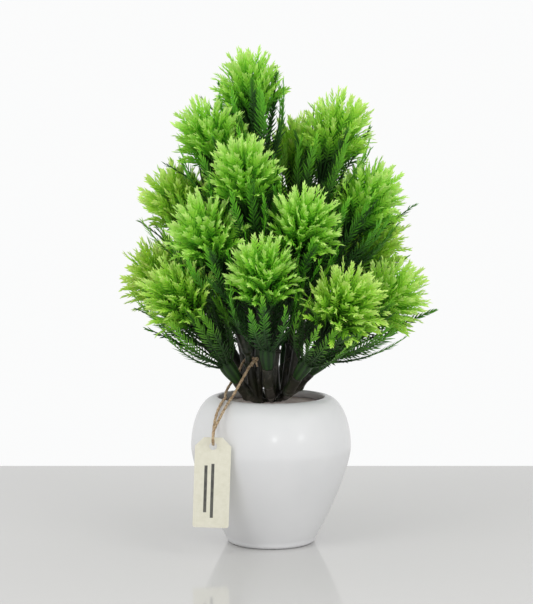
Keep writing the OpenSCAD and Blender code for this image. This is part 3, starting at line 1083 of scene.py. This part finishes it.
def build_sprig():
    tree = new_tree("sprig", "GeometryNodeTree",
                    [("Geometry", GEOMETRY, None), ("Seed", INT, 1), ("Warmth", FLOAT, 0.0),
                     ("Fullness of Head", FLOAT, 1.0), ("Material", MATERIAL, None)],
                    [("Geometry", GEOMETRY)])
    g, given = opened(tree)
    parts = [core_part(g)]
    for column, channel in enumerate(CHANNELS):
        values = {title: row[column] for title, row in (RIB_VALUES | BARB_VALUES).items()}
        values["Seed"] = g.plus(given["Seed"], channel)
        if column == PLUMES:
            values["Reach"] = g.times(given["Fullness of Head"], values["Reach"])
        parts.append(g.get("GeometryNodeGroup", values, node_tree=FROND))
    tint = g.times_plus(named(g, "along_barb"), 0.16, named(g, "tone"))
    shape = stored(g, joined_parts(g, *parts), "tint", tint)
    shape = stored(g, shape, "warmth", given["Warmth"])
    for name in ("tone", "along_barb", "along_rib", "rib_number", "barb_share", "hand"):
        shape = g.geo("RemoveAttribute", {"Geometry": shape, "Name": name})
    painted(g, shape, given["Material"])
    return tree


SPRIG = build_sprig()

# %% [markdown]
# Foliage finish
#
# The sprigs are moulded polythene: a clear lime at the tips, a deep green inside, with a waxy
# shine and a little light that comes through. The colour follows the tint that the tree stored
# from root to tip, which also holds painted shade at the plumes' roots and the lowest ribs' tips.
# A second value makes some heads yellower, as from another batch.


# %% Foliage material
def foliage_finish():
    finish = Finish("foliage", roughness=0.45, Specular_IOR_Level=0.3, Subsurface_Weight=0.12,
                    Subsurface_Radius=(0.3, 1.0, 0.1), Subsurface_Scale=0.0012)
    g = finish.g
    tint = g.add("ShaderNodeAttribute", attribute_name="tint").outputs["Fac"]
    warmth = g.add("ShaderNodeAttribute", attribute_name="warmth").outputs["Fac"]
    drift = finish.mottle(7 * MM, 1.6, 2.0)
    shade = g.plus(tint, g.times_plus(drift, 0.16, -0.08))
    # The darkest stops also carry the painted shade at the plumes' roots and the lowest tips.
    cool = finish.ramp(shade, (0.0, 0.008, 0.03, 0.008), (0.3, 0.026, 0.09, 0.016),
                       (0.55, 0.12, 0.47, 0.025), (0.8, 0.38, 0.8, 0.07), (1.0, 0.6, 0.93, 0.24))
    warm = finish.ramp(shade, (0.0, 0.01, 0.028, 0.006), (0.3, 0.04, 0.11, 0.016),
                       (0.55, 0.2, 0.46, 0.025), (0.8, 0.48, 0.78, 0.065), (1.0, 0.7, 0.93, 0.22))
    finish.colour(finish.blend(warmth, cool, warm))
    finish.roughness(drift, 0.4, 0.55)
    finish.bump(finish.group(GRAIN, Size=0.5 * MM, Pits=0.1), 0.2, 0.05 * MM)
    return finish.material


FOLIAGE = foliage_finish()

# %% [markdown]
# Setting the sprigs
#
# Every sprig stands in its own sleeve. The joint that lets it turn gives the sleeve's mouth and
# axis, so the head made along +Z is turned to that axis and moved there. The seed comes from its
# place in the list, so no two heads are alike, and each run is the same.

# %% Sprig pieces
YELLOWER = {
    "front_left_low": 0.55, "left_low": 0.9, "back_left_low": 0.8, "left_mid": 0.7, "right_front": 0.6,
    "right_low": 0.45, "crown_right": 0.4, "back_right_mid": 0.8, "crown_back": 0.7, "back_mid": 0.5,
}
USUAL_WARMTH = 0.15
FULLNESS = (1.0, 0.95, 0.97, 0.96, 1.02, 0.92, 1.06)
FIRST_SEED = 11


def set_sprig(node, number):
    place = node.removeprefix("sprig_")
    joint = JOINTS[place + "_turn"]
    piece = link_mesh(node + "_fronds", bpy.data.meshes.new(node))
    grow = piece.modifiers.new("grow", "NODES")
    grow.node_group = SPRIG
    set_inputs(grow, {"Seed": FIRST_SEED + number, "Warmth": YELLOWER.get(place, USUAL_WARMTH),
                      "Fullness of Head": FULLNESS[number % len(FULLNESS)], "Material": FOLIAGE})
    piece = baked(piece)
    paint(piece, FOLIAGE)
    axis = Vector(joint["axis"]).normalized()
    turn = Vector((0, 0, 1)).rotation_difference(axis).to_matrix().to_4x4()
    piece.data.transform(Matrix.Translation(joint["pos_m"]) @ turn)
    stand_for(piece, node)
    return piece


sprig_nodes = sorted(name for name in frame["nodes"] if name.startswith("sprig_"))
sprigs = [set_sprig(node, number) for number, node in enumerate(sprig_nodes)]
print("sprigs:", len(sprigs), "with", sum(len(p.data.polygons) for p in sprigs), "faces")

# %% [markdown]
# Parts inside
#
# The hub, foam and wires keep their CAD shapes. Foam is beaded and dusty green-grey, and drawn
# wire has faint lines along it.


# %% Inner finishes
def foam_finish():
    finish = Finish("foam", roughness=0.95)
    beads = finish.mottle(1.8 * MM, 2.0, 2.0)
    finish.colour(finish.ramp(beads, (0.2, 0.6, 0.64, 0.55), (0.8, 0.78, 0.8, 0.72)))
    finish.bump(finish.group(GRAIN, Size=1.6 * MM, Pits=0.6), 0.7, 0.4 * MM)
    return finish.material


def wire_finish():
    finish = Finish("drawn_wire", roughness=0.35, Metallic=1.0)
    lines = finish.mottle(0.6 * MM, 1.5, 6.0)
    finish.colour(finish.ramp(lines, (0.2, 0.4, 0.4, 0.4), (0.8, 0.6, 0.6, 0.59)))
    finish.roughness(lines, 0.25, 0.45)
    return finish.material


FOAM, WIRE = foam_finish(), wire_finish()
for name, node in frame["nodes"].items():
    if name.startswith("wire"):
        paint(node, WIRE)
    elif name == "foam_core":
        paint(node, FOAM)
    elif name == "root_hub":
        paint(node, BARK)

# %% [markdown]
# Stage
#
# A pale glossy table ends a little behind the pot, before the plain white of the studio. The
# world gives even light. Two wide lamps model the heads and the pot, and two small lamps in front
# light only the pot and leave the two soft glints on the glaze.

# %% Table, lamps and world
TABLE_BACK, TABLE_FRONT, TABLE_HALF, TABLE_T = 0.249, -1.6, 1.6, 0.03
TREE_MIDDLE = (0, 0, 0.12)
SEEN_WHITE, WORLD_LIGHT = (0.965, 0.969, 0.969, 1), 0.82


def table_finish():
    finish = Finish("table", roughness=0.06, Specular_IOR_Level=0.65)
    drift = finish.mottle(0.5, 0.8, 1.0)
    finish.colour(finish.ramp(drift, (0.2, 0.56, 0.555, 0.545), (0.8, 0.62, 0.615, 0.605)))
    finish.roughness(drift, 0.04, 0.09)
    return finish.material


def make_table():
    mesh = bpy.data.meshes.new("table")
    with editing(mesh) as shape:
        bmesh.ops.create_cube(shape, size=1.0)
        for vertex in shape.verts:
            vertex.co.x *= 2 * TABLE_HALF
            vertex.co.y = TABLE_BACK if vertex.co.y > 0 else TABLE_FRONT
            vertex.co.z = 0 if vertex.co.z > 0 else -TABLE_T
    table = link_mesh("table", mesh)
    paint(table, table_finish())


def add_lamp(name, place, size, power, only=None):
    """A round lamp that faces the tree. With only, it lights that piece alone."""
    data = bpy.data.lights.new(name, "AREA")
    data.shape, data.size, data.energy = "DISK", size, power
    lamp = bpy.data.objects.new(name, data)
    lamp.location = place
    lamp.visible_glossy = only is not None
    if only:
        lit = bpy.data.collections.new(name + "_lit")
        lit.objects.link(only)
        lamp.light_linking.receiver_collection = lit
    lamp.rotation_euler = (Vector(TREE_MIDDLE) - Vector(place)).to_track_quat("-Z", "Y").to_euler()
    scene.collection.objects.link(lamp)


def light_world():
    world = bpy.data.worlds.new("studio")
    world.use_nodes = True
    world.node_tree.nodes.clear()
    g = Graph(world.node_tree)
    seen = g.add("ShaderNodeBackground", {"Color": SEEN_WHITE, "Strength": 1.0})
    lit = g.add("ShaderNodeBackground", {"Color": (1, 1, 1, 1), "Strength": WORLD_LIGHT})
    eye = g.add("ShaderNodeLightPath").outputs["Is Camera Ray"]
    both = g.add("ShaderNodeMixShader", {0: eye, 1: lit.outputs[0], 2: seen.outputs[0]})
    g.add("ShaderNodeOutputWorld", {"Surface": both.outputs[0]})
    scene.world = world


make_table()
light_world()
add_lamp("key_left", (-0.8, -0.9, 1.1), 0.8, 5.5)
add_lamp("fill_right", (0.9, -0.9, 0.9), 0.8, 5)
add_lamp("front_glint", (0.13, -1.5, 0.43), 0.16, 0.9, only=pot)
add_lamp("right_glint", (1.04, -1.08, 0.42), 0.17, 0.8, only=pot)
